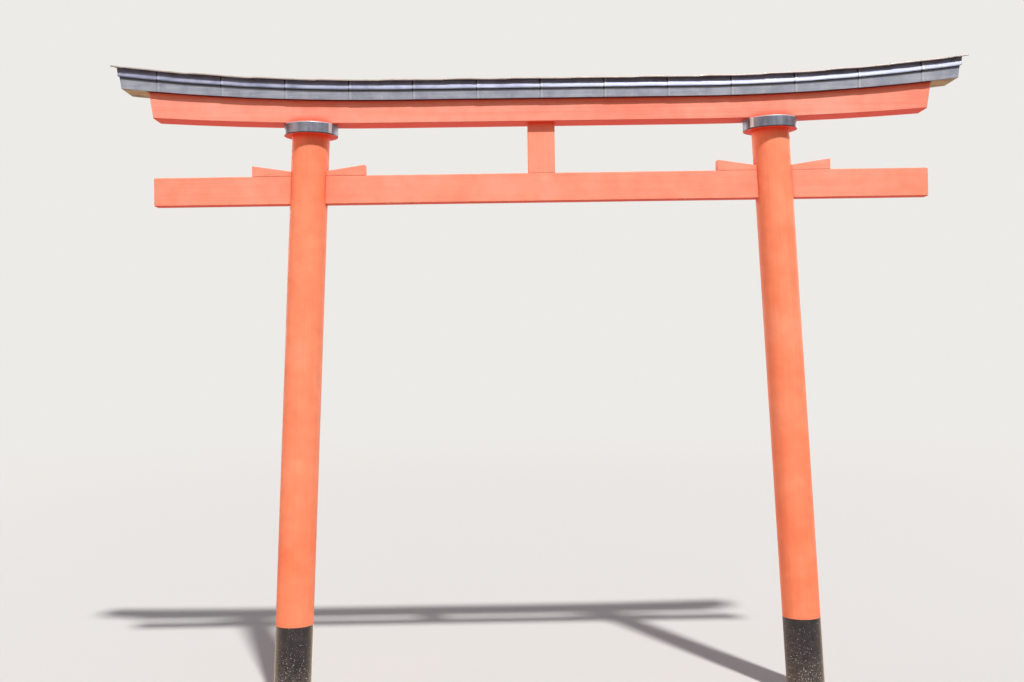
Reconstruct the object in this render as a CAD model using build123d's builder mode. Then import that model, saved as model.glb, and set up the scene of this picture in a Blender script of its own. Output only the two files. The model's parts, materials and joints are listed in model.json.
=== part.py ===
"""Vermilion torii gate: two leaning round posts, a wedged tie beam and a curved, sheet-clad double lintel.

Millimetres, +Z up, +X along the gate, -Y the front. The origin is the centre of the left post's foot.
"""

from build123d import *
from math import asin, cos, degrees, radians, sin, tan
import os

# Posts
post_spacing = 2075
post_diameter = 151
post_lean = 2.65
foot_band_height = 305
foot_band_thickness = 2

# Rings at the post heads
ring_diameter = 216
ring_height = 45
post_tenon_width = 60
post_tenon_depth = 40
post_tenon_seat = 45

# Tie beam, wedges and centre strut
tie_underside = 1997
tie_length = 3125
tie_height = 114
tie_depth = 56
wedge_outside = 152
wedge_inside = 60
wedge_butt_height = 43
wedge_mouth_height = 20
strut_height = 204
strut_width = 109
strut_tenon_width = 60
strut_tenon_depth = 24
strut_tenon_length = 25

# Lower lintel: level in the middle, with tangent arcs up to the ends
lower_half_length = 1554
lower_height = 90
lower_depth = 114
flat_half_length = 600
soffit_radius = 14400
joint_radius = 9900
end_slant = 9

# Upper lintel: timber core, sheet metal cladding and the roof sheets with their steep aprons
upper_half_length = 1673
core_depth = 147
fascia_height = 42
eave_radius = 8800
eave_half_width = 79
apron_pitch = 75
apron_height = 35
crown_pitch = 6
ridge_flat = 6
sheet = 1.5
bay_joints = 6
end_bay_length = 143
drip_lip = 3
verge = 5

# Ridge cap
cap_width = 180
cap_lip = 6
cap_overhang = 20

# Clearances and arrises
mortise_play = 1
curved_fit = 0.3
sheet_gap = 0.6
arris = 2

# Derived places
lean = radians(post_lean)
slant = radians(end_slant)
steep = radians(apron_pitch)
shallow = radians(crown_pitch)
gate_centre = post_spacing / 2
tie_top = tie_underside + tie_height
soffit_height = tie_top + strut_height
joint_height = soffit_height + lower_height
eave_height = joint_height + fascia_height
roof_bay = (upper_half_length - end_bay_length) / bay_joints
shoulder_half_width = eave_half_width - apron_height / tan(steep)
cap_reach = sheet + verge + cap_overhang
wedge_slope = (wedge_butt_height - wedge_mouth_height) / wedge_outside
gate_plane = Plane(origin=(gate_centre, 0, 0), x_dir=(1, 0, 0), z_dir=(0, -1, 0))
centre_plane = Plane(origin=(gate_centre, 0, 0), x_dir=(0, 1, 0), z_dir=(1, 0, 0))
sides = {"left": -1, "right": 1}


# Curves of the lintels, seen from the front, with u measured from the gate's centre


def arc_angle(u, radius):
    """Angle that a tangent arc has turned through at u, nothing in the flat middle."""
    return asin(max(abs(u) - flat_half_length, 0) / radius)


def rise(u, radius):
    """Height of a tangent arc above the flat middle that it springs from."""
    return radius * (1 - cos(arc_angle(u, radius)))


def rising_edge(height, half_length, radius):
    """Flat middle with a tangent arc up to each end, drawn into the sketch's outline."""
    end_height = height + rise(half_length, radius)
    Line((-flat_half_length, height), (flat_half_length, height))
    TangentArc((flat_half_length, height), (half_length, end_height), tangent=(1, 0))
    TangentArc((-flat_half_length, height), (-half_length, end_height), tangent=(-1, 0))


def lintel_edges(bottom, bottom_half, bottom_radius, top, top_radius):
    """Front outline of a lintel between two curves, its ends cut on the slant."""
    bottom_end = bottom + rise(bottom_half, bottom_radius)
    top_half = bottom_half + (top + rise(bottom_half, top_radius) - bottom_end) * tan(slant)
    top_end = top + rise(top_half, top_radius)
    rising_edge(bottom, bottom_half, bottom_radius)
    rising_edge(top, top_half, top_radius)
    for way in sides.values():
        Line((way * bottom_half, bottom_end), (way * top_half, top_end))


# Posts, foot bands and rings


def tilted_plane(origin, side, angle):
    """Plane at origin whose normal is tilted from upright towards the gate's centre."""
    along = (cos(angle), 0, side * sin(angle))
    normal = (-side * sin(angle), 0, cos(angle))
    return Plane(origin=origin, x_dir=along, z_dir=normal)


def post_plane(side):
    """Plane at the post's foot whose normal is the leaning axis."""
    foot = gate_centre + side * post_spacing / 2
    return tilted_plane((foot, 0, 0), side, lean)


def ring_plane(side):
    """Plane of the ring's top, laid against the curved soffit over the post."""
    u = post_spacing / 2 - soffit_height * tan(lean)
    head = (gate_centre + side * u, 0, soffit_height + rise(u, soffit_radius))
    return tilted_plane(head, side, arc_angle(u, soffit_radius))


def shaft(side, inset):
    """The leaning shaft, its skin set in by inset, left long at both ends."""
    spare = post_diameter
    with BuildPart() as round_post:
        with BuildSketch(post_plane(side).offset(-spare)):
            Circle(post_diameter / 2 - inset)
        extrude(amount=soffit_height + 2 * spare)
    return round_post.part


def make_foot_band(side):
    """Thin black wrap, let in flush around the post's foot."""
    with BuildPart() as band:
        add(shaft(side, 0))
        add(shaft(side, foot_band_thickness), mode=Mode.SUBTRACT)
        split(bisect_by=Plane.XY, keep=Keep.TOP)
        split(bisect_by=Plane.XY.offset(foot_band_height), keep=Keep.BOTTOM)
    return band


def make_ring(side):
    """Timber disc over the post's head, bored for its tenon."""
    with BuildPart() as ring:
        with BuildSketch(ring_plane(side)):
            Circle(ring_diameter / 2 - sheet)
            Rectangle(post_tenon_width + mortise_play, post_tenon_depth + mortise_play, mode=Mode.SUBTRACT)
        extrude(amount=-ring_height)
    return ring


def make_ring_hoop(side):
    """Black sheet bent around the ring's rim."""
    with BuildPart() as hoop:
        with BuildSketch(ring_plane(side)):
            Circle(ring_diameter / 2)
            Circle(ring_diameter / 2 - sheet + curved_fit, mode=Mode.SUBTRACT)
        extrude(amount=-ring_height)
    return hoop


def head_tenon(side, play):
    """The post's tenon, from its shoulder up into the lower lintel."""
    with BuildPart() as tenon:
        with BuildSketch(ring_plane(side).offset(-ring_height)):
            Rectangle(post_tenon_width + play, post_tenon_depth + play)
        extrude(amount=ring_height + post_tenon_seat)
    return tenon.part


def grip_u(side):
    """Where the post's axis crosses the top of the tie beam, from the gate's centre."""
    return side * (post_spacing / 2 - tie_top * tan(lean))


def wedge_reach():
    """Distances of a wedge's thick and thin ends from the post's axis."""
    face = post_diameter / 2
    return face + wedge_outside, face - wedge_inside


def wedge_height(distance):
    """Height of the wedge at a distance from the post's axis."""
    return wedge_mouth_height + (distance - post_diameter / 2) * wedge_slope


def tie_mortise(side):
    """Slot through the post for the tie beam, its roof sloping in with the wedges."""
    butt, tip = wedge_reach()
    centre = grip_u(side)
    with BuildPart() as slot:
        with BuildSketch(gate_plane):
            with BuildLine():
                Polyline(
                    (centre - butt, tie_underside),
                    (centre + butt, tie_underside),
                    (centre + butt, tie_top + wedge_height(butt)),
                    (centre + tip, tie_top + wedge_height(tip)),
                    (centre - tip, tie_top + wedge_height(tip)),
                    (centre - butt, tie_top + wedge_height(butt)),
                    close=True,
                )
            make_face()
        extrude(amount=tie_depth / 2 + mortise_play, both=True)
    return slot.part


def make_post(side, band):
    """Leaning round post: level foot, rebate for the band, through mortise and head tenon."""
    with BuildPart() as post:
        add(shaft(side, 0))
        split(bisect_by=Plane.XY, keep=Keep.TOP)
        split(bisect_by=ring_plane(side).offset(-ring_height), keep=Keep.BOTTOM)
        add(tie_mortise(side), mode=Mode.SUBTRACT)
        add(band.part, mode=Mode.SUBTRACT)
        add(head_tenon(side, 0))
    return post


# Tie beam, wedges and strut


def make_tie_beam():
    """One through beam with crisp arrises, morticed on top for the strut."""
    with BuildPart() as beam:
        with BuildSketch(gate_plane):
            with Locations((0, tie_underside + tie_height / 2)):
                Rectangle(tie_length, tie_height)
        extrude(amount=tie_depth / 2, both=True)
        chamfer(beam.edges(), length=arris)
        add(strut_tenons(mortise_play), mode=Mode.SUBTRACT)
    return beam


def make_wedge(side, way):
    """Wedge driven over the tie beam; way is -1 for a wedge on the post's left."""
    butt, tip = wedge_reach()
    centre = grip_u(side)
    with BuildPart() as wedge:
        with BuildSketch(gate_plane):
            with BuildLine():
                Polyline(
                    (centre + way * butt, tie_top),
                    (centre + way * butt, tie_top + wedge_height(butt)),
                    (centre + way * tip, tie_top + wedge_height(tip)),
                    (centre + way * tip, tie_top),
                    close=True,
                )
            make_face()
        extrude(amount=tie_depth / 2, both=True)
    return wedge


def strut_tenons(play):
    """Bar that stands for both tenons of the strut, one past each end."""
    with BuildPart() as tenons:
        with BuildSketch(Plane(origin=(gate_centre, 0, tie_top - strut_tenon_length))):
            Rectangle(strut_tenon_width + play, strut_tenon_depth + play)
        extrude(amount=soffit_height - tie_top + 2 * strut_tenon_length)
    return tenons.part


def make_center_strut():
    """Short board between tie beam and lower lintel, tenoned into both."""
    with BuildPart() as strut:
        with BuildSketch(Plane(origin=(gate_centre, 0, tie_top))):
            Rectangle(strut_width, tie_depth)
        extrude(amount=soffit_height - tie_top)
        chamfer(strut.edges().filter_by(Axis.Z), length=arris)
        add(strut_tenons(0))
    return strut


# Lower lintel


def make_lower_lintel():
    """Curved timber over the rings, seated on the post tenons and the strut's tenon."""
    with BuildPart() as lintel:
        with BuildSketch(gate_plane):
            with BuildLine():
                lintel_edges(soffit_height, lower_half_length, soffit_radius, joint_height, joint_radius)
            make_face()
        extrude(amount=lower_depth / 2, both=True)
        chamfer(lintel.faces().filter_by(Axis.Y).edges(), length=arris)
        for side in sides.values():
            add(head_tenon(side, mortise_play), mode=Mode.SUBTRACT)
        add(strut_tenons(mortise_play), mode=Mode.SUBTRACT)
    return lintel


# Upper lintel and roof: sections in the y, z plane that follow the curved eaves


def on_apron(height, lift):
    """Point of the roof's steep side at a height over the eave line, lift out from the timber."""
    return eave_half_width - height / tan(steep) + lift / sin(steep), height


def on_crown(y, lift):
    """Point of the roof's shallow top at a distance y from the middle, lift up from the timber."""
    return y, apron_height + (shoulder_half_width - y) * tan(shallow) + lift / cos(shallow)


def on_shoulder(lift):
    """Point where the steep side meets the shallow top, both lift out from the timber."""
    outward = lift * (1 / cos(steep) - 1 / cos(shallow)) / (tan(steep) - tan(shallow))
    return on_crown(shoulder_half_width + outward, lift)


def mirrored_face(half_points):
    """Closed section in the y, z plane from the points of its +Y half, top to bottom or round."""
    outline = half_points + [(-y, z) for y, z in reversed(half_points)]
    with BuildSketch() as section:
        with BuildLine():
            Polyline(*outline, close=True)
        make_face()
    return section.sketch


def run_along_eaves(section):
    """Section run along the eaves: straight in the middle, then turned about the arc's centre."""
    sweep_angle = degrees(arc_angle(upper_half_length + cap_reach + eave_half_width, eave_radius))
    half_flat = gate_centre + flat_half_length
    turning = Axis((half_flat, 0, eave_height + eave_radius), (0, -1, 0))
    with BuildPart() as run:
        with BuildSketch(Plane(origin=(gate_centre, 0, eave_height), x_dir=(0, 1, 0), z_dir=(1, 0, 0))):
            add(section)
        extrude(amount=flat_half_length)
        with BuildSketch(Plane(origin=(half_flat, 0, eave_height), x_dir=(0, 1, 0), z_dir=(1, 0, 0))):
            add(section)
        revolve(axis=turning, revolution_arc=sweep_angle)
        mirror(about=centre_plane)
    return run.part


def upper_block(reach):
    """Everything above the lintels' joint and between slanted ends, reach past the timber's."""
    half_length = upper_half_length + reach
    bottom_end = joint_height + rise(half_length, joint_radius)
    top = 2 * eave_height
    top_half = half_length + (top - bottom_end) * tan(slant)
    with BuildPart() as block:
        with BuildSketch(gate_plane):
            with BuildLine():
                rising_edge(joint_height, half_length, joint_radius)
                Polyline(
                    (half_length, bottom_end),
                    (top_half, top),
                    (-top_half, top),
                    (-half_length, bottom_end),
                )
            make_face()
        extrude(amount=2 * eave_half_width, both=True)
    return block.part


def timber_run():
    """The timber's section along the eaves, deeper than the lintel at every place."""
    depth = core_depth / 2
    side_height = (eave_half_width - depth) * tan(steep)
    below = eave_height - joint_height + rise(upper_half_length, eave_radius)
    return run_along_eaves(
        mirrored_face([on_crown(ridge_flat / 2, 0), on_shoulder(0), (depth, side_height), (depth, -below)])
    )


def make_upper_lintel():
    """Timber core under the sheet metal, with bevelled sides, a weathered top and a bare underside."""
    with BuildPart() as core:
        add(timber_run())
        add(upper_block(0), mode=Mode.INTERSECT)
    return core


def make_end_cap(side):
    """Sheet over the slanted end of the timber."""
    with BuildPart() as cap:
        add(timber_run())
        add(upper_block(sheet), mode=Mode.INTERSECT)
        add(upper_block(0), mode=Mode.SUBTRACT)
        split(bisect_by=centre_plane, keep=Keep.TOP if side > 0 else Keep.BOTTOM)
    return cap


def seam_slots(offset):
    """Thin slabs across the gate, where one sheet ends and the next begins."""
    reach = range(-bay_joints - 1, bay_joints + 1) if offset else range(-bay_joints, bay_joints + 1)
    with BuildPart() as slots:
        for joint in reach:
            with BuildSketch(gate_plane):
                with Locations(((joint + offset) * roof_bay, eave_height)):
                    Rectangle(sheet_gap, 2 * eave_height)
        extrude(amount=2 * eave_half_width, both=True)
    return slots.part


def make_fascia(front):
    """Vertical sheets on one long side of the timber, one a bay, up to the eave line."""
    half_length = upper_half_length + sheet
    with BuildPart() as fascia:
        with BuildSketch(gate_plane.offset(front * core_depth / 2)):
            with BuildLine():
                lintel_edges(joint_height, half_length, joint_radius, eave_height, eave_radius)
            make_face()
        extrude(amount=front * sheet)
        add(seam_slots(0), mode=Mode.SUBTRACT)
    return fascia


def roof_skin():
    """The whole roof as one bent sheet over the ridge, its aprons reaching down past the eave line."""
    ridge = ridge_flat / 2
    inside = curved_fit
    outside = curved_fit + sheet
    section = mirrored_face(
        [
            on_crown(ridge, outside),
            on_shoulder(outside),
            on_apron(-drip_lip, outside),
            on_apron(-drip_lip, inside),
            on_shoulder(inside),
            on_crown(ridge, inside),
        ]
    )
    with BuildPart() as skin:
        add(run_along_eaves(section))
        add(upper_block(sheet + verge), mode=Mode.INTERSECT)
        add(seam_slots(0), mode=Mode.SUBTRACT)
    return skin.part


def make_ridge_cap():
    """Wide cap over the roof sheets, in lengths whose joints fall in the middle of the bays."""
    ridge = ridge_flat / 2
    edge = cap_width / 2
    inside = 2 * curved_fit + sheet
    outside = inside + sheet
    lip_bottom = on_crown(edge, outside)[1] - cap_lip
    section = mirrored_face(
        [
            on_crown(ridge, outside),
            on_crown(edge, outside),
            (edge, lip_bottom),
            (edge - sheet, lip_bottom),
            on_crown(edge - sheet, inside),
            on_crown(ridge, inside),
        ]
    )
    with BuildPart() as cap:
        add(run_along_eaves(section))
        add(upper_block(cap_reach), mode=Mode.INTERSECT)
        add(seam_slots(0.5), mode=Mode.SUBTRACT)
    return cap


def keep(piece, name):
    """Label a finished piece and write it to its own file."""
    piece.part.label = name
    export_step(piece.part, f"parts/{name}.step")


os.makedirs("parts", exist_ok=True)

for word, side in sides.items():
    foot_band = make_foot_band(side)
    keep(foot_band, f"foot_band_{word}")
    keep(make_post(side, foot_band), f"post_{word}")
    keep(make_ring(side), f"ring_{word}")
    keep(make_ring_hoop(side), f"ring_hoop_{word}")
    keep(make_wedge(side, side), f"wedge_{word}_outer")
    keep(make_wedge(side, -side), f"wedge_{word}_inner")
    keep(make_end_cap(side), f"end_cap_{word}")

keep(make_tie_beam(), "tie_beam")
keep(make_center_strut(), "center_strut")
keep(make_lower_lintel(), "lower_lintel")
keep(make_upper_lintel(), "upper_lintel")
keep(make_fascia(1), "fascia_front")
keep(make_fascia(-1), "fascia_back")
keep(make_ridge_cap(), "ridge_cap")

for number, solid in enumerate(roof_skin().solids().sort_by(Axis.X), start=1):
    with BuildPart() as roof_sheet:
        add(solid)
    keep(roof_sheet, f"roof_sheet_{number:02d}")
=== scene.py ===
"""Vermilion torii gate in a plain studio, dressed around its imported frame.

Metres, in the frame's own axes: +X along the gate, -Y the front, +Z up, the origin at the left post's foot.
"""

import json
from math import atan, cos, pi, radians, sin, sqrt, tan

import bmesh
import bpy
from mathutils import Matrix, Vector, noise


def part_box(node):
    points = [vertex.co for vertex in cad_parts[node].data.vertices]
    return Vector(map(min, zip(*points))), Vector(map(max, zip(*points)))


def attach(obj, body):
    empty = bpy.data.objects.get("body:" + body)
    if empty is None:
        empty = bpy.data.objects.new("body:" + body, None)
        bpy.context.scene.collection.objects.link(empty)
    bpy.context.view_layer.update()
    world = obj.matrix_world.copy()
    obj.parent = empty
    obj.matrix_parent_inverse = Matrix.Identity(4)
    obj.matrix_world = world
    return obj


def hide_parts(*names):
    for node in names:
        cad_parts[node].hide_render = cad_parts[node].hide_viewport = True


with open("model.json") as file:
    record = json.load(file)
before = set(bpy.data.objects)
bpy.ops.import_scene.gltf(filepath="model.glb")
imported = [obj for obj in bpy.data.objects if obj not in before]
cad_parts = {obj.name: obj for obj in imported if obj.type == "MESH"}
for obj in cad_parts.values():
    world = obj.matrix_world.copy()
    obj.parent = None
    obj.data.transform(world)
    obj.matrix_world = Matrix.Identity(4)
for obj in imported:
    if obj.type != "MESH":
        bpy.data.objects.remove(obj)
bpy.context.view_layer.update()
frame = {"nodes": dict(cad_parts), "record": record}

# Places read from the frame
bays = sorted(node for node in frame["nodes"] if node.startswith("roof_sheet_"))
gate_middle = sum(corner.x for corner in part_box("tie_beam")) / 2
ring_middle = sum(corner.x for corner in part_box("ring_left")) / 2
ring_height = sum(corner.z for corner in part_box("ring_left")) / 2
post_lean = atan(ring_middle / ring_height)
band_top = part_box("foot_band_left")[1].z
lower_half_length = (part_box("lower_lintel")[1].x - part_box("lower_lintel")[0].x) / 2
joint_places = [(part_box(near)[1].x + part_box(far)[0].x) / 2 - gate_middle for near, far in zip(bays, bays[1:])]
bay_length = joint_places[1] - joint_places[0]

# The roof's curves: level in the middle, then arcs up to slanted ends, with the sheets that reach past those
flat_half = 0.6
eave_radius = 8.8
fascia_foot_radius = 9.9
end_slant = radians(9)
slant_rounds = 3
drip = 0.003
eave_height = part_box("roof_sheet_07")[0].z + drip
fascia_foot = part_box("fascia_front")[0].z
timber_half_length = 1.673
sheet = 0.0015
verge = 0.005
cap_overhang = 0.020

# The roof's section: steep sides, a shallow top, and a cap with a bent nose and a lip
timber_half_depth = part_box("fascia_back")[0].y
apron_pitch = radians(75)
eave_half_width = 0.079
apron_height = 0.035
shoulder_half_width = eave_half_width - apron_height / tan(apron_pitch)
crown_pitch = radians(6)
crown_start = 0.003
cap_half_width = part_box("ridge_cap")[1].y
cap_mid_slope = 0.045
cap_lip = 0.006
nose_radius = 0.0025
nose_bends = 3
fit = 0.0003

# Laps, in which a sheet rides up on its left neighbour, and the waves that hands leave in a free edge
lap = 0.010
lap_lift = 0.0016
station_step = 0.015
sharp_angle = radians(35)
waves_per_metre = 8
eave_wave = 0.0009
eave_wave_top = 0.02
cap_wave = 0.0014
fascia_wave = 0.0007

# Painted shade (with a little soot) and painted highlight on the sheets, from 0 to 1: beside and under a lap, at
# a height over the eave line, and up a fascia
lap_shade_width = 0.006
lap_shade_fade = 0.0005
lap_shade = 0.15
lap_shade_gain = 4
highlight_width = 0.007
highlight_fade = 0.001
lap_highlight = 0.2
# Painted shade, deep at the shoulder under the cap and at the cap lip's foot; the cap's top slightly darker
shoulder_shade = 0.8
cap_darkening = 0.06
cap_lip_shade = 0.25
# Painted shade up the steep side over the eave line: a little under the cap's lip, and a dark line along the drip
apron_shade = (
    (0.029, 0.2),
    (0.020, 0.2),
    (0.0165, 0.05),
    (0.010, 0),
    (0.004, 0),
    (0.0015, 0.6),
    (-drip, 0.9),
)
# Painted shade up a fascia: at its foot, and under the drip at its top
fascia_shade = ((0, 0.5), (0.05, 0), (0.3, 0), (0.6, 0), (0.74, 0), (0.8, 0.6), (1, 1))

# Domed nail heads; a fascia's stand past each joint and in mid bay, with the share of a lap's lift left there
nail_width = 0.0048
nail_height = 0.0012
nail_share = 0.21
nail_places = ((0.022, 0.9), (bay_length / 2, 0.5))
dome_sides = 12
dome_levels = (radians(0), radians(30), radians(60))

# Hoops round the rings: a hem dressed in along the top, and a nailed lap beside the front
soffit_tilt = radians(1.31)
hoop_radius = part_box("ring_hoop_left")[1].y
hoop_height = 0.045
hoop_hem = 0.003
hoop_hem_in = 0.00105
hoop_hem_fade = 0.001
# Painted shade along the hoop's foot
hoop_shade_height = 0.0035
hoop_shade_fade = 0.001
hoop_seam = radians(57)
hoop_overlap = radians(7)
hoop_spring = radians(40)
hoop_steps = 98
hoop_wave = 0.0006
hoop_waves_per_radian = 2
# Painted highlight on the last steps of the hoop's end that lies on top
hoop_end_steps = 3
hoop_end_highlight = 0.7
hoop_nail_level = 0.012
hoop_nail_lift = 0.9

# Camera in pixels, millimetres, metres and degrees: at eye height in front of the gate, left of its middle
image_width = 1024
focal_pixels = 1225
sensor_width = 36
eye_left_of_middle = 0.1646
eye_distance = 4.961
eye_height = 1.365
turned_right = 0.40
tilted_up = 0.80
rolled = 0.86

# Lamps, in degrees to the right of the gate's front and up: key, warm fill for the shaded sides, and rims
lamps = {
    "key_lamp": dict(side_angle=20, elevation=53, spread=3, level=1.28),
    "fill_lamp": dict(side_angle=-75, elevation=8, spread=40, level=0.3, tint="#FFCBAE"),
    "rim_lamp_left": dict(side_angle=-140, elevation=12, spread=30, level=0.25),
    "rim_lamp_right": dict(side_angle=140, elevation=12, spread=30, level=0.25),
}

# Floor, in metres from the gate's middle
floor_radius = 60
floor_sides = 96
floor_fade_start = 5
floor_fade_end = 18

# Studio colours: the floor and surround as seen, and what floor, horizon and zenith throw on the gate
floor_colour = "#CBC8C3"
surround_colour = "#EDEBE7"
bounce_colour = "#BEA18F"
horizon_colour = "#6A6866"
zenith_colour = "#5F6377"


def linear(code):
    """Linear colour of an sRGB hex code."""
    shares = [int(code[start : start + 2], 16) / 255 for start in (1, 3, 5)]
    return [share / 12.92 if share <= 0.04045 else ((share + 0.055) / 1.055) ** 2.4 for share in shares] + [1]


def add(tree, kind, sockets=None, ramp=None, **settings):
    """One node in tree with its settings, its sockets' values or links, and its ramp's stops."""
    node = tree.nodes.new("ShaderNode" + kind)
    for setting, value in settings.items():
        setattr(node, setting, value)
    for name, value in (sockets or {}).items():
        named = [entry for entry in node.inputs if entry.enabled and entry.name == name]
        socket = named[0] if named else node.inputs[name]
        if isinstance(value, bpy.types.Node):
            value = next(output for output in value.outputs if output.enabled)
        if isinstance(value, bpy.types.NodeSocket):
            tree.links.new(value, socket)
        else:
            socket.default_value = linear(value) if isinstance(value, str) else value
    for stop, (place, code) in enumerate(ramp or ()):
        if stop > 1:
            node.color_ramp.elements.new(place)
        node.color_ramp.elements[stop].position = place
        node.color_ramp.elements[stop].color = linear(code)
    return node


def new_material(name):
    """Empty material and its node tree."""
    material = bpy.data.materials.new(name)
    material.use_nodes = True
    material.node_tree.nodes.clear()
    return material, material.node_tree


# Finishes

# Ways to mix two colours, and the stretch that most of a noise's values lie in
cover = dict(data_type="RGBA")
product = dict(data_type="RGBA", blend_type="MULTIPLY")
most_of_noise = {"From Min": 0.3, "From Max": 0.7}


def vermilion_paint(name, tones, line_code, streak, lean=0.0):
    """Planed cypress brushed with vermilion oil paint, chalky from the sun, with the grain just raised.

    tones run from least to most faded paint and line_code tints the grain's lines; streak is one streak of grain
    along X, Y and Z, wide enough to show.
    """
    material, tree = new_material(name)
    place = add(tree, "TexCoord").outputs["Object"]
    turned = {"Vector": place, "Rotation": (0, lean, 0), "Scale": streak}
    fibre = add(tree, "Mapping", turned, vector_type="TEXTURE")
    uneven = {"Detail": 5, "Roughness": 0.62, "Distortion": 0.3}
    grain = add(tree, "TexNoise", {"Vector": fibre, "Scale": 1, **uneven})

    # The brush's tracks, about three to a streak
    tracks = add(tree, "TexNoise", {"Vector": fibre, "Scale": 3.1, "Detail": 2})

    # Fading over about 40 cm, blotches of about 5 cm, and the grain's lines
    fading = add(tree, "TexNoise", {"Vector": place, "Scale": 1 / 0.4, "Detail": 3})
    tone = add(tree, "ValToRGB", {"Fac": fading}, ramp=list(zip((0.34, 0.52, 0.7), tones)))
    blotches = add(tree, "TexNoise", {"Vector": place, "Scale": 1 / 0.05, "Detail": 4, "Roughness": 0.6})
    patchy = add(tree, "ValToRGB", {"Fac": blotches}, ramp=[(0.32, "#F8F3F1"), (0.62, "#FFFFFF")])
    lined = add(tree, "ValToRGB", {"Fac": grain}, ramp=[(0.34, line_code), (0.56, "#FFFFFF")])
    painted = add(tree, "Mix", {"Factor": 1, "A": tone, "B": patchy}, **product)
    painted = add(tree, "Mix", {"Factor": 1, "A": painted, "B": lined}, **product)

    # Painted shade: a deep, saturated vermilion underneath and close under what juts out, where shade falls
    flat = add(tree, "NewGeometry").outputs["Normal"]
    up = add(tree, "SeparateXYZ", {"Vector": flat}).outputs["Z"]
    under = add(tree, "MapRange", {"Value": up, "From Min": -0.4, "From Max": -0.9, "To Max": 0.95})
    openness = add(tree, "AmbientOcclusion", {"Distance": 0.05}, samples=8).outputs["AO"]
    tucked = add(tree, "MapRange", {"Value": openness, "From Min": 0.88, "From Max": 0.55, "To Max": 0.9})
    painted_shade_red = add(tree, "Math", {0: under, 1: tucked}, operation="MAXIMUM")
    painted = add(tree, "Mix", {"Factor": painted_shade_red, "A": painted, "B": "#EC441E"}, **cover)

    # Painted highlight: paler within 3 mm of an arris, as thinned and bleached paint; and dusty on top
    rounded = add(tree, "Bevel", {"Radius": 0.003}, samples=6)
    bend = add(tree, "VectorMath", {0: rounded, 1: flat}, operation="DOT_PRODUCT")
    edge_highlight = add(tree, "MapRange", {"Value": bend, "From Min": 0.995, "From Max": 0.8, "To Max": 0.6})
    painted = add(tree, "Mix", {"Factor": edge_highlight, "A": painted, "B": "#FFBDA0"}, **cover)
    dusted = add(tree, "MapRange", {"Value": up, "From Min": 0.6, "From Max": 1, "To Max": 0.35})
    painted = add(tree, "Mix", {"Factor": dusted, "A": painted, "B": "#D9A184"}, **cover)

    # Chips of a few millimetres, down to the primer, where a slow pattern allows them
    flakes = add(tree, "TexNoise", {"Vector": place, "Scale": 1 / 0.009, "Detail": 1})
    chipped = add(tree, "ValToRGB", {"Fac": flakes}, ramp=[(0.79, "#000000"), (0.81, "#FFFFFF")])
    rare = add(tree, "ValToRGB", {"Fac": blotches}, ramp=[(0.52, "#000000"), (0.6, "#FFFFFF")])
    chips = add(tree, "Mix", {"Factor": 1, "A": chipped, "B": rare}, **product)
    painted = add(tree, "Mix", {"Factor": chips, "A": painted, "B": "#F3C9AE"}, **cover)

    gloss = add(tree, "MapRange", {"Value": tracks, **most_of_noise, "To Min": 0.5, "To Max": 0.62})
    raised = add(tree, "Bump", {"Height": grain, "Normal": rounded, "Strength": 0.12, "Distance": 0.0005})
    raised = add(tree, "Bump", {"Height": tracks, "Normal": raised, "Strength": 0.15, "Distance": 0.0003})
    satin = {"Roughness": gloss, "Normal": raised, "IOR": 1.5, "Specular IOR Level": 0.25}
    paint = add(tree, "BsdfPrincipled", {"Base Color": painted, **satin})
    add(tree, "OutputMaterial", {"Surface": paint})
    return material


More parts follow.
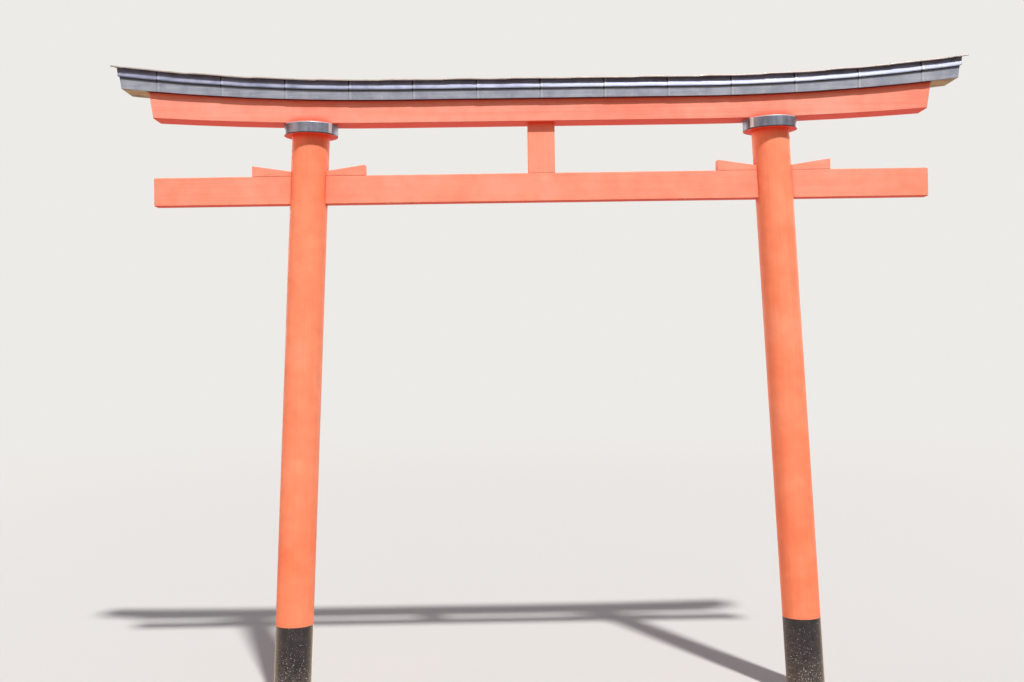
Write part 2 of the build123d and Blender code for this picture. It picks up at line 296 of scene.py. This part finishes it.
def coated_steel(name, code, dark_code, line_code, line, metallic=0.35):
    """Coil-coated steel sheet, bent by hand: satin grey with rolling lines, rain marks and soft dents.

    line_code tints its lines and line is the size of one along X, Y and Z, coarse enough to show. The mesh
    says where painted shade and a little soot darken it (soot_and_shade) and a painted highlight lightens it
    (painted_highlight).
    """
    material, tree = new_material(name)
    place = add(tree, "TexCoord").outputs["Object"]
    rolled_along = add(tree, "Mapping", {"Vector": place, "Scale": line}, vector_type="TEXTURE")
    lines = add(tree, "TexNoise", {"Vector": rolled_along, "Scale": 1, "Detail": 4, "Roughness": 0.65})

    # Rain marks of about 6 cm and dents of about 11 cm
    marks = add(tree, "TexNoise", {"Vector": place, "Scale": 1 / 0.06, "Detail": 5, "Roughness": 0.62})
    dents = add(tree, "TexNoise", {"Vector": place, "Scale": 1 / 0.11, "Detail": 1})
    tone = add(tree, "ValToRGB", {"Fac": marks}, ramp=[(0.34, dark_code), (0.6, code)])
    lined = add(tree, "ValToRGB", {"Fac": lines}, ramp=[(0.32, line_code), (0.62, "#FFFFFF")])
    coat = add(tree, "Mix", {"Factor": 1, "A": tone, "B": lined}, **product)

    # Painted highlight, as bare bright coat: paler within 2 mm of a fold or cut edge, and where the mesh asks for
    # it
    rounded = add(tree, "Bevel", {"Radius": 0.002}, samples=6)
    flat = add(tree, "NewGeometry").outputs["Normal"]
    bend = add(tree, "VectorMath", {0: rounded, 1: flat}, operation="DOT_PRODUCT")
    edge_highlight = add(tree, "MapRange", {"Value": bend, "From Min": 0.99, "From Max": 0.75, "To Max": 0.65})
    coat = add(tree, "Mix", {"Factor": edge_highlight, "A": coat, "B": "#C9CCD0"}, **cover)
    painted_highlight = add(tree, "Attribute", attribute_name="painted_highlight").outputs["Fac"]
    coat = add(tree, "Mix", {"Factor": painted_highlight, "A": coat, "B": "#DADCE0"}, **cover)

    # Dust lies on what faces up, and dulls it; painted shade with a little soot, from the mesh, lies over both
    up = add(tree, "SeparateXYZ", {"Vector": flat}).outputs["Z"]
    dusted = add(tree, "MapRange", {"Value": up, "From Min": 0.7, "From Max": 0.95, "To Max": 0.65})
    dust = add(tree, "ValToRGB", {"Fac": marks}, ramp=[(0.34, "#827C76"), (0.62, "#938E89")])
    coat = add(tree, "Mix", {"Factor": dusted, "A": coat, "B": dust}, **cover)
    metal = add(tree, "MapRange", {"Value": dusted, "To Min": metallic, "To Max": 0.05})
    soot_and_shade = add(tree, "Attribute", attribute_name="soot_and_shade").outputs["Fac"]
    coat = add(tree, "Mix", {"Factor": soot_and_shade, "A": coat, "B": "#22232A"}, **cover)

    gloss = add(tree, "MapRange", {"Value": marks, **most_of_noise, "To Min": 0.34, "To Max": 0.48})
    gloss = add(tree, "Math", {0: gloss, 1: dusted}, operation="MAXIMUM")
    raised = add(tree, "Bump", {"Height": dents, "Normal": rounded, "Strength": 0.35, "Distance": 0.004})
    raised = add(tree, "Bump", {"Height": lines, "Normal": raised, "Strength": 0.2, "Distance": 0.0003})
    worked = {"Metallic": metal, "Roughness": gloss, "Normal": raised}
    steel = add(tree, "BsdfPrincipled", {"Base Color": coat, **worked})
    add(tree, "OutputMaterial", {"Surface": steel})
    return material


def black_coat(name):
    """Matt black coat on the foot, mottled brown, with grit that rain splashes up from the ground."""
    material, tree = new_material(name)
    place = add(tree, "TexCoord").outputs["Object"]
    height = add(tree, "SeparateXYZ", {"Vector": place}).outputs["Z"]
    low = add(tree, "MapRange", {"Value": height, "From Min": band_top, "From Max": 0, "To Min": 0.05})

    # Mottles of about 4 cm, and runs about 1 cm wide down the post
    mottles = add(tree, "TexNoise", {"Vector": place, "Scale": 1 / 0.04, "Detail": 6, "Roughness": 0.68})
    down = add(tree, "Mapping", {"Vector": place, "Scale": (0.012, 0.012, 0.12)}, vector_type="TEXTURE")
    runs = add(tree, "TexNoise", {"Vector": down, "Scale": 1, "Detail": 3})
    browns = [(0.33, "#0F0C0E"), (0.5, "#221C20"), (0.68, "#3A3238")]
    tone = add(tree, "ValToRGB", {"Fac": mottles}, ramp=browns)
    streaked = add(tree, "ValToRGB", {"Fac": runs}, ramp=[(0.35, "#B5B0AC"), (0.6, "#FFFFFF")])
    coat = add(tree, "Mix", {"Factor": 1, "A": tone, "B": streaked}, **product)

    # Dust in patches and grains of grit drawn 4 mm wide, so that they show, both thicker towards the ground
    dust = add(tree, "TexNoise", {"Vector": place, "Scale": 1 / 0.012, "Detail": 5, "Roughness": 0.75})
    thick = add(tree, "Math", {0: dust, 1: low}, operation="MULTIPLY")
    film = add(tree, "MapRange", {"Value": thick, "From Min": 0.25, "From Max": 0.7, "To Max": 0.5})
    coat = add(tree, "Mix", {"Factor": film, "A": coat, "B": "#857C72"}, **cover)
    grains = add(tree, "TexNoise", {"Vector": place, "Scale": 1 / 0.004, "Detail": 1})
    stuck = add(tree, "MapRange", {"Value": low, "To Min": -0.05, "To Max": 0.05})
    shown = add(tree, "Math", {0: grains, 1: stuck}, operation="ADD")
    grit = add(tree, "MapRange", {"Value": shown, "From Min": 0.69, "From Max": 0.72})
    coat = add(tree, "Mix", {"Factor": grit, "A": coat, "B": "#DCD3C4"}, **cover)

    raised = add(tree, "Bump", {"Height": mottles, "Strength": 0.35, "Distance": 0.0012})
    raised = add(tree, "Bump", {"Height": grit, "Normal": raised, "Strength": 0.6, "Distance": 0.0008})
    matt = {"Roughness": 0.6, "Sheen Weight": 0.85, "Sheen Roughness": 0.38, "Sheen Tint": "#F0D9BC"}
    surface = add(tree, "BsdfPrincipled", {"Base Color": coat, "Normal": raised, "IOR": 1.5, **matt})
    add(tree, "OutputMaterial", {"Surface": surface})
    return material


def bare_cypress(name):
    """Planed cypress, unpainted, gone cream and golden in the air, with the grain's darker late wood."""
    material, tree = new_material(name)
    place = add(tree, "TexCoord").outputs["Object"]

    # Grain drawn 7 mm wide, where late wood is about 1 mm, so that it shows, and water stains of about 9 cm
    along = add(tree, "Mapping", {"Vector": place, "Scale": (0.5, 0.007, 0.007)}, vector_type="TEXTURE")
    uneven = {"Detail": 5, "Roughness": 0.6, "Distortion": 0.6}
    grain = add(tree, "TexNoise", {"Vector": along, "Scale": 1, **uneven})
    golds = [(0.32, "#937A4D"), (0.48, "#B79C69"), (0.66, "#CDB989")]
    tone = add(tree, "ValToRGB", {"Fac": grain}, ramp=golds)
    stains = add(tree, "TexNoise", {"Vector": place, "Scale": 1 / 0.09, "Detail": 4})
    stained = add(tree, "ValToRGB", {"Fac": stains}, ramp=[(0.34, "#BFB4A2"), (0.58, "#FFFFFF")])
    wood = add(tree, "Mix", {"Factor": 1, "A": tone, "B": stained}, **product)

    # Over the lower lintel, dark red: paint run on from the brush, darkened as painted shade where the lintel
    # keeps it in deep shade
    along_gate = add(tree, "SeparateXYZ", {"Vector": place}).outputs["X"]
    past_middle = add(tree, "Math", {0: along_gate, 1: gate_middle}, operation="SUBTRACT")
    out = add(tree, "Math", {0: past_middle}, operation="ABSOLUTE")
    overrun = 0.012
    clean = lower_half_length + overrun
    red_paint_and_shade = add(tree, "MapRange", {"Value": out, "From Min": clean, "From Max": lower_half_length})
    wood = add(tree, "Mix", {"Factor": red_paint_and_shade, "A": wood, "B": "#5E1F18"}, **cover)
    raised = add(tree, "Bump", {"Height": grain, "Strength": 0.35, "Distance": 0.0008})
    planed = {"Roughness": 0.62, "Normal": raised, "IOR": 1.5}
    surface = add(tree, "BsdfPrincipled", {"Base Color": wood, **planed})
    add(tree, "OutputMaterial", {"Surface": surface})
    return material


def pale_when_seen(tree, shade, pale):
    """A pale colour to look at, straight or in a reflection, and a darker shade for what it lights."""
    ray = add(tree, "LightPath").outputs
    seen = add(tree, "Math", {0: ray["Is Camera Ray"], 1: ray["Is Glossy Ray"]}, operation="MAXIMUM")
    seen = add(tree, "Math", {0: seen, 1: ray["Is Transmission Ray"]}, operation="MAXIMUM")
    return add(tree, "Mix", {"Factor": seen, "A": shade, "B": pale}, **cover)


def pale_floor(name):
    """Plain pale studio floor that turns into the surround's own colour far out, so that no edge shows."""
    material, tree = new_material(name)
    place = add(tree, "TexCoord").outputs["Object"]
    far = add(tree, "VectorMath", {0: place}, operation="LENGTH").outputs["Value"]
    outward = {"Value": far, "From Min": floor_fade_start, "From Max": floor_fade_end}
    fade = add(tree, "MapRange", outward, interpolation_type="SMOOTHSTEP")
    near = pale_when_seen(tree, bounce_colour, floor_colour)
    floor = add(tree, "BsdfPrincipled", {"Base Color": near, "Roughness": 0.85})
    far_colour = pale_when_seen(tree, horizon_colour, surround_colour)
    haze = add(tree, "Emission", {"Color": far_colour, "Strength": 1})
    blend = add(tree, "MixShader", {"Fac": fade, 1: floor, 2: haze})
    add(tree, "OutputMaterial", {"Surface": blend})
    return material


# Vermilion from least to most faded: deeper on the round posts, paler on the sawn beams and the lintel
round_tones = ("#FC8A62", "#FE966F", "#FFA27F")
sawn_tones = ("#FD9678", "#FE9E83", "#FFA78D")
lintel_tones = ("#FC967F", "#FEA08A", "#FFAA95")

# One streak of grain along X, Y and Z, drawn 6 to 12 mm wide, where a real one is 1 to 2 mm, so that it shows
up_post = (0.012, 0.012, 0.7)
up_strut = (0.010, 0.010, 0.5)
along_beam = (0.6, 0.009, 0.009)
along_lintel = (0.6, 0.006, 0.006)
left_paint = vermilion_paint("vermilion_paint_post_left", round_tones, "#FBF5F2", up_post, post_lean)
right_paint = vermilion_paint("vermilion_paint_post_right", round_tones, "#FBF5F2", up_post, -post_lean)
lintel_paint = vermilion_paint("vermilion_paint_lintel", lintel_tones, "#F5EBE7", along_lintel)
beam_paint = vermilion_paint("vermilion_paint_beam", sawn_tones, "#FAF4F1", along_beam)
strut_paint = vermilion_paint("vermilion_paint_strut", sawn_tones, "#FBF5F3", up_strut)

# Rolling lines, drawn 5 mm wide so that they show, runs of rain down a hoop, and zinc in one tone to a nail
along_sheet = (0.5, 0.005, 0.005)
down_hoop = (0.014, 0.014, 0.2)
zinc_bloom = (0.01, 0.01, 0.01)
fascia_steel = coated_steel("coated_steel_fascia", "#A6ABB6", "#9197A5", "#DEE1E6", along_sheet)
# Roof sheets a bluer lilac than the fascia: a painted shade tint for their band in the cap's shade
roof_steel = coated_steel("coated_steel_roof", "#9498AE", "#7E829A", "#E0E1E7", along_sheet)
cap_steel = coated_steel("coated_steel_ridge_cap", "#B3A8A0", "#9C8B7E", "#DDDEE4", along_sheet)
hoop_steel = coated_steel("coated_steel_hoops", "#888B97", "#6A6E7A", "#CDD0D7", down_hoop)
nail_steel = coated_steel("zinc_on_nail_heads", "#C4C7CA", "#A9ACB0", "#E6E8EA", zinc_bloom, metallic=0.7)

band_coat = black_coat("matt_black_coat")
cypress = bare_cypress("bare_cypress")

# Finishes by slot, and by node for painted timber; of the dark sheets all but the end caps are replaced below
slot_finishes = {"bare_timber": cypress, "black_band": band_coat, "dark_sheet": fascia_steel}
timber_finishes = {
    "post_left": left_paint,
    "post_right": right_paint,
    "center_strut": strut_paint,
    "lower_lintel": lintel_paint,
}
for subpart in frame["record"]["subparts"]:
    node = subpart["node"]
    timber_finish = timber_finishes.get(node, beam_paint)
    materials = frame["nodes"][node].data.materials
    materials.clear()
    materials.append(slot_finishes.get(subpart["material_slot"], timber_finish))


# Bent sheets of the roof and its cladding


def arc_rise(out, radius):
    """Height of a tangent arc at a distance past the level middle."""
    return radius - sqrt(radius**2 - out**2)


def on_eave(x, y, z):
    """Point at x along the gate and y across it, with z up from the eave line and square to its curve."""
    out = max(abs(x) - flat_half, 0)
    return Vector((gate_middle + x, y, eave_height + eave_radius - sqrt((eave_radius - z) ** 2 - out**2)))


def on_side(x, y, share):
    """Point at x along the gate, on a vertical side of the lintel, share of the way up from foot to eave."""
    out = max(abs(x) - flat_half, 0)
    foot = fascia_foot + arc_rise(out, fascia_foot_radius)
    return Vector((gate_middle + x, y, foot + share * (eave_height + arc_rise(out, eave_radius) - foot)))


def slanted_end(side, reach, place):
    """Rule for x on the lintel's slanted end, reach past the timber's, at a point of a section.

    The slant moves x by height and the curve moves height by x, so the two are settled in a few rounds.
    """
    half_length = timber_half_length + reach
    foot = fascia_foot + arc_rise(half_length - flat_half, fascia_foot_radius)

    def end_x(y, z):
        x = half_length
        for _ in range(slant_rounds):
            x = half_length + (place(x, y, z).z - foot) * tan(end_slant)
        return side * x

    return end_x


def on_apron(height, lift):
    """Section point of the roof's steep side at a height over the eave line, lift out from the timber."""
    return eave_half_width - height / tan(apron_pitch) + lift / sin(apron_pitch), height


def on_crown(y, lift):
    """Section point of the roof's shallow top, lift up from the timber."""
    return y, apron_height + (shoulder_half_width - y) * tan(crown_pitch) + lift / cos(crown_pitch)


def on_shoulder(lift):
    """Section point where the steep side meets the shallow top."""
    outward = lift * (1 / cos(apron_pitch) - 1 / cos(crown_pitch)) / (tan(apron_pitch) - tan(crown_pitch))
    return on_crown(shoulder_half_width + outward, lift)


def both_sides(half):
    """Section from the front edge over the ridge to the back edge, from its half from ridge to back edge."""
    front = [((-y, z), (-inner_y, inner_z), soot_and_shade) for (y, z), (inner_y, inner_z), soot_and_shade in reversed(half)]
    return front + half


def roof_section(raised):
    """Outer point, inner point and painted shade round a roof sheet, raised off its seat.

    Painted shade lies deep at the shoulder, under the cap, and hangs along the eave under the drip.
    """
    lifts = (fit + sheet + raised, fit + raised)
    half = [(*[on_crown(crown_start, lift) for lift in lifts], 0)]
    half.append((*[on_shoulder(lift) for lift in lifts], shoulder_shade))
    for height, soot_and_shade in apron_shade:
        half.append((*[on_apron(height, lift) for lift in lifts], soot_and_shade))
    return both_sides(half)


def cap_section(raised):
    """Outer point, inner point and darkening round the ridge cap, painted shade at its lip's foot, its nose bent
    round, raised off its seat.
    """
    lifts = (2 * fit + 2 * sheet + raised, 2 * fit + sheet + raised)
    half = [(*[on_crown(y, lift) for lift in lifts], cap_darkening) for y in (crown_start, cap_mid_slope)]
    bend = cap_half_width - nose_radius
    centre = on_crown(bend, lifts[0])[1] - nose_radius
    radii = (nose_radius, nose_radius - sheet)
    for k in range(nose_bends + 1):
        turned = crown_pitch + (pi / 2 - crown_pitch) * k / nose_bends
        half.append((*[(bend + radius * sin(turned), centre + radius * cos(turned)) for radius in radii], 0))
    lip_foot = on_crown(cap_half_width, lifts[0])[1] - cap_lip
    half.append(((cap_half_width, lip_foot), (cap_half_width - sheet, lip_foot), cap_lip_shade))
    return both_sides(half)


def fascia_section(front):
    """Rule for outer point, inner point and painted shade up a fascia sheet, on the front (-1) or the back (1).
    """

    def section(raised):
        depths = (timber_half_depth + sheet + raised, timber_half_depth + raised)
        return [(*[(front * depth, share) for depth in depths], soot_and_shade) for share, soot_and_shade in fascia_shade]

    return section


def hand_bent(x, y, seed):
    """How far a free edge strays at x, sideways and up, from -1 to 1, in two waves of their own."""
    spot = Vector((x * waves_per_metre, seed, 1 if y > 0 else -1))
    far_off = Vector((0, 40, 0))
    return noise.noise(spot), noise.noise(spot + far_off)


def painted_light_layer(mesh, name):
    """Layer of the mesh that tells the steel's material how much painted shade, or how much painted highlight,
    there is at a place.
    """
    layers = mesh.verts.layers.float
    return layers.get(name) or layers.new(name)


def stations(count, on_left, on_right):
    """Stations along one length of sheet: share of its length, distance past that, in a lap, and painted
    highlight.
    """
    places = [(0, 0, 0, on_left), (0, highlight_width, 0, on_left), (0, highlight_width + highlight_fade, 0, 0)]
    places += [(k / count, 0, 0, 0) for k in range(1, count)]
    if on_right:
        places += [(1, -lap_shade_width, 0, 0), (1, lap_shade_fade - lap_shade_width, 1, 0), (1, lap, 1, 0)]
    else:
        places.append((1, 0, 0, 0))
    return places


def skin(mesh, rows):
    """Faces of a sheet between its rows of outer and inner points: both sides, its edges and its two ends."""
    for near, far in zip(rows, rows[1:]):
        for corners in zip(near, near[1:], far[1:], far):
            outer, inner = zip(*corners)
            mesh.faces.new(outer)
            mesh.faces.new((inner[0], inner[3], inner[2], inner[1]))
        for edge in (0, -1):
            mesh.faces.new((near[edge][0], far[edge][0], far[edge][1], near[edge][1]))
    for row in (rows[0], rows[-1]):
        for (outer, inner), (next_outer, next_inner) in zip(row, row[1:]):
            mesh.faces.new((outer, next_outer, next_inner, inner))


def lay_sheet(mesh, number, place, section, ends, stray, on_left, on_right):
    """One length of sheet: it rides up on a neighbour on_left and is tucked under one on_right.

    ends are the rules for x at its two ends; stray is how far its shape may wander at a point of the section.
    """
    shade_layer = painted_light_layer(mesh, "soot_and_shade")
    highlight_layer = painted_light_layer(mesh, "painted_highlight")
    count = max(int((ends[1](0, 0) - ends[0](0, 0)) / station_step), 2)
    rows = []
    for share, past, in_lap, painted_highlight in stations(count, on_left, on_right):
        raised = lap_lift * (1 - share) if on_left else 0
        row = []
        for *pair, soot_and_shade in section(raised):
            spots = []
            for y, z in pair:
                x = ends[0](y, z) * (1 - share) + ends[1](y, z) * share + past
                sideways, up = hand_bent(x, y, number)
                wander = stray(y, z)
                shift = Vector((0, (1 if y > 0 else -1) * wander * sideways, wander * up))
                spot = mesh.verts.new(place(x, y, z) + shift)
                # Painted shade beside and under the lap's edge, darker still where the sheet is already shaded;
                # painted highlight just past it
                spot[shade_layer] = min(1, soot_and_shade + in_lap * (lap_shade + lap_shade_gain * soot_and_shade))
                spot[highlight_layer] = lap_highlight * painted_highlight
                spots.append(spot)
            row.append(spots)
        rows.append(row)
    skin(mesh, rows)


def run_of_sheets(meshes, seams, reach, place, section, stray):
    """Lengths of sheet from one slanted end to the other, one into each mesh, cut at the seams."""
    rules = [slanted_end(-1, reach, place)]
    rules += [lambda y, z, seam=seam: seam for seam in seams]
    rules += [slanted_end(1, reach, place)]
    for number, mesh in enumerate(meshes):
        ends = rules[number : number + 2]
        lay_sheet(mesh, number, place, section, ends, stray, number > 0, number < len(seams))


def make_piece(name, mesh, material, replaced=()):
    """Object from a bmesh that belongs to the gate and takes the place of the replaced nodes."""
    bmesh.ops.recalc_face_normals(mesh, faces=mesh.faces)
    data = bpy.data.meshes.new(name)
    mesh.to_mesh(data)
    mesh.free()
    data.materials.append(material)
    data.shade_smooth()
    data.set_sharp_from_angle(angle=sharp_angle)
    piece = bpy.data.objects.new(name, data)
    bpy.context.scene.collection.objects.link(piece)
    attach(piece, "root")
    if replaced:
        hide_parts(*replaced)


def add_nail_head(mesh, foot, out):
    """Domed nail head with its foot on a surface, facing out."""
    stand = Matrix.Translation(foot) @ out.to_track_quat("Z", "Y").to_matrix().to_4x4()
    turns = [2 * pi * k / dome_sides for k in range(dome_sides)]
    rings = []
    for up_dome in dome_levels:
        radius = nail_width / 2 * cos(up_dome)
        level = nail_height * sin(up_dome)
        spots = [(radius * cos(turn), radius * sin(turn), level) for turn in turns]
        rings.append([mesh.verts.new(stand @ Vector(spot)) for spot in spots])
    for lower, upper in zip(rings, rings[1:]):
        for k in range(dome_sides):
            mesh.faces.new((lower[k - 1], lower[k], upper[k], upper[k - 1]))
    mesh.faces.new(rings[-1])


def roof_sheets():
    """Fourteen sheets bent over the timber, each lapped over its left neighbour and waved along its eaves."""
    meshes = [bmesh.new() for _ in bays]

    def stray(y, z):
        return eave_wave if z < eave_wave_top else 0

    run_of_sheets(meshes, joint_places, sheet + verge, on_eave, roof_section, stray)
    for name, mesh in zip(bays, meshes):
        make_piece(name + "_bent", mesh, roof_steel, [name])


def ridge_cap():
    """Cap lengths lapped in the middle of the bays, their noses a little uneven."""
    seams = [joint - bay_length / 2 for joint in joint_places]
    seams.append(joint_places[-1] + bay_length / 2)
    mesh = bmesh.new()
    meshes = [mesh] * (len(seams) + 1)

    def stray(y, z):
        return cap_wave * (abs(y) / cap_half_width) ** 3

    run_of_sheets(meshes, seams, sheet + verge + cap_overhang, on_eave, cap_section, stray)
    make_piece("ridge_cap_lengths", mesh, cap_steel, ["ridge_cap"])


def fascias():
    """Fascia sheets on both long sides, nailed along their foot, which is the most waved."""

    def stray(y, share):
        return fascia_wave * (1 - share)

    for word, front in (("front", -1), ("back", 1)):
        mesh = bmesh.new()
        meshes = [mesh] * len(bays)
        run_of_sheets(meshes, joint_places, sheet, on_side, fascia_section(front), stray)
        make_piece(f"fascia_{word}_sheets", mesh, fascia_steel, [f"fascia_{word}"])
        nails = bmesh.new()
        for joint in joint_places:
            for past, lifted in nail_places:
                depth = timber_half_depth + sheet + lap_lift * lifted
                foot = on_side(joint + past, front * depth, nail_share)
                if abs(joint + past) < timber_half_length:
                    add_nail_head(nails, foot, Vector((0, front, 0)))
        make_piece(f"fascia_{word}_nails", nails, nail_steel)


def hoop_section(ragged):
    """Points round a hoop's sheet, from hem to foot and up its back: place out, level, painted shade and painted
    highlight.
    """
    half = hoop_height / 2
    foot = ragged - half
    # Painted highlight along the hem at the top, painted shade along the foot
    return (
        (-hoop_hem_in, half, 0, 0.8),
        (0, half - hoop_hem, 0, 0.5),
        (0, half - hoop_hem - hoop_hem_fade, 0, 0),
        (0, foot + hoop_shade_height + hoop_shade_fade, 0, 0),
        (0, foot + hoop_shade_height, 0.9, 0),
        (0, foot, 1, 0),
        (fit - sheet, foot, 1, 0),
        (fit - sheet, half, 0, 0),
    )


def bend_hoop(mesh, stand, side):
    """Hoop sheet bent round the ring on side -1 or 1: its far end springs off and lies over its start."""
    shade_layer = painted_light_layer(mesh, "soot_and_shade")
    highlight_layer = painted_light_layer(mesh, "painted_highlight")
    rows = []
    for step in range(hoop_steps + 1):
        to_end = (2 * pi + hoop_overlap) * (1 - step / hoop_steps)
        raised = lap_lift * max(0, 1 - to_end / hoop_spring)
        angle = side * (to_end - hoop_seam)
        ragged = hoop_wave * noise.noise(Vector((to_end * hoop_waves_per_radian, side, 0)))
        row = []
        for out, level, soot_and_shade, painted_highlight in hoop_section(ragged):
            radius = hoop_radius + out + raised
            spot = mesh.verts.new(stand @ Vector((radius * sin(angle), -radius * cos(angle), level)))
            spot[shade_layer] = soot_and_shade
            spot[highlight_layer] = painted_highlight
            row.append(spot)
        rows.append(row)

    # Painted highlight on the end on top, from its hem down to the painted shade at its foot
    for row in rows[-hoop_end_steps:]:
        for spot in row[1:4]:
            spot[highlight_layer] = hoop_end_highlight
    for near, far in zip(rows, rows[1:]):
        for k in range(len(near)):
            mesh.faces.new((near[k - 1], near[k], far[k], far[k - 1]))
    mesh.faces.new(rows[0])
    mesh.faces.new(rows[-1])


def ring_hoops():
    """Sheet hoop round each ring: its top edge dressed in, its ends lapped and nailed beside the front."""
    for word, side in (("left", -1), ("right", 1)):
        low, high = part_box(f"ring_{word}")
        tilt = Matrix.Rotation(-side * soffit_tilt, 4, "Y")
        stand = Matrix.Translation((low + high) / 2) @ tilt
        mesh = bmesh.new()
        bend_hoop(mesh, stand, side)
        make_piece(f"ring_hoop_{word}_lapped", mesh, hoop_steel, [f"ring_hoop_{word}"])
        nails = bmesh.new()
        angle = -side * (hoop_seam - hoop_overlap / 2)
        out = Vector((sin(angle), -cos(angle), 0))
        for level in (-hoop_nail_level, hoop_nail_level):
            foot = stand @ (out * (hoop_radius + lap_lift * hoop_nail_lift) + Vector((0, 0, level)))
            add_nail_head(nails, foot, tilt @ out)
        make_piece(f"ring_hoop_{word}_nails", nails, nail_steel)


roof_sheets()
ridge_cap()
fascias()
ring_hoops()


# Studio


def make_camera():
    """Camera where the photograph was taken from."""
    data = bpy.data.cameras.new("camera")
    data.sensor_width = sensor_width
    data.lens = focal_pixels * sensor_width / image_width
    camera = bpy.data.objects.new("camera", data)
    bpy.context.scene.collection.objects.link(camera)
    stand = Matrix.Translation((gate_middle - eye_left_of_middle, -eye_distance, eye_height))
    turn = Matrix.Rotation(radians(-turned_right), 4, "Z")
    tilt = Matrix.Rotation(radians(90 + tilted_up), 4, "X")
    roll = Matrix.Rotation(radians(-rolled), 4, "Z")
    camera.matrix_world = stand @ turn @ tilt @ roll
    bpy.context.scene.camera = camera


def add_lamp(name, side_angle, elevation, spread, level, tint="#FFFFFF"):
    """Far lamp, spread degrees wide: a white surface that faces it renders at level, in the lamp's tint."""
    data = bpy.data.lights.new(name, "SUN")
    data.angle = radians(spread)
    data.energy = level * pi
    data.color = linear(tint)[:3]
    lamp = bpy.data.objects.new(name, data)
    lamp.rotation_euler = (radians(90 - elevation), 0, radians(side_angle))
    bpy.context.scene.collection.objects.link(lamp)


def make_surround():
    """Pale surround behind the gate; its light is darker, neutral at the horizon and bluer overhead."""
    world = bpy.data.worlds.new("surround")
    world.use_nodes = True
    tree = world.node_tree
    tree.nodes.clear()
    direction = add(tree, "TexCoord").outputs["Generated"]
    height = add(tree, "SeparateXYZ", {"Vector": direction}).outputs["Z"]
    shade = add(tree, "ValToRGB", {"Fac": height}, ramp=[(0.02, horizon_colour), (0.7, zenith_colour)])
    colour = pale_when_seen(tree, shade, surround_colour)
    background = add(tree, "Background", {"Color": colour, "Strength": 1})
    add(tree, "OutputWorld", {"Surface": background})
    bpy.context.scene.world = world


def make_floor():
    """Level floor under the posts' feet."""
    mesh = bpy.data.meshes.new("floor")
    disc = bmesh.new()
    bmesh.ops.create_circle(disc, cap_ends=True, segments=floor_sides, radius=floor_radius)
    disc.to_mesh(mesh)
    disc.free()
    mesh.materials.append(pale_floor("pale_floor"))
    floor = bpy.data.objects.new("floor", mesh)
    floor.location = (gate_middle, 0, 0)
    bpy.context.scene.collection.objects.link(floor)


make_camera()
make_surround()
make_floor()
for name, lamp in lamps.items():
    add_lamp(name, **lamp)

bpy.context.scene.view_settings.view_transform = "Standard"
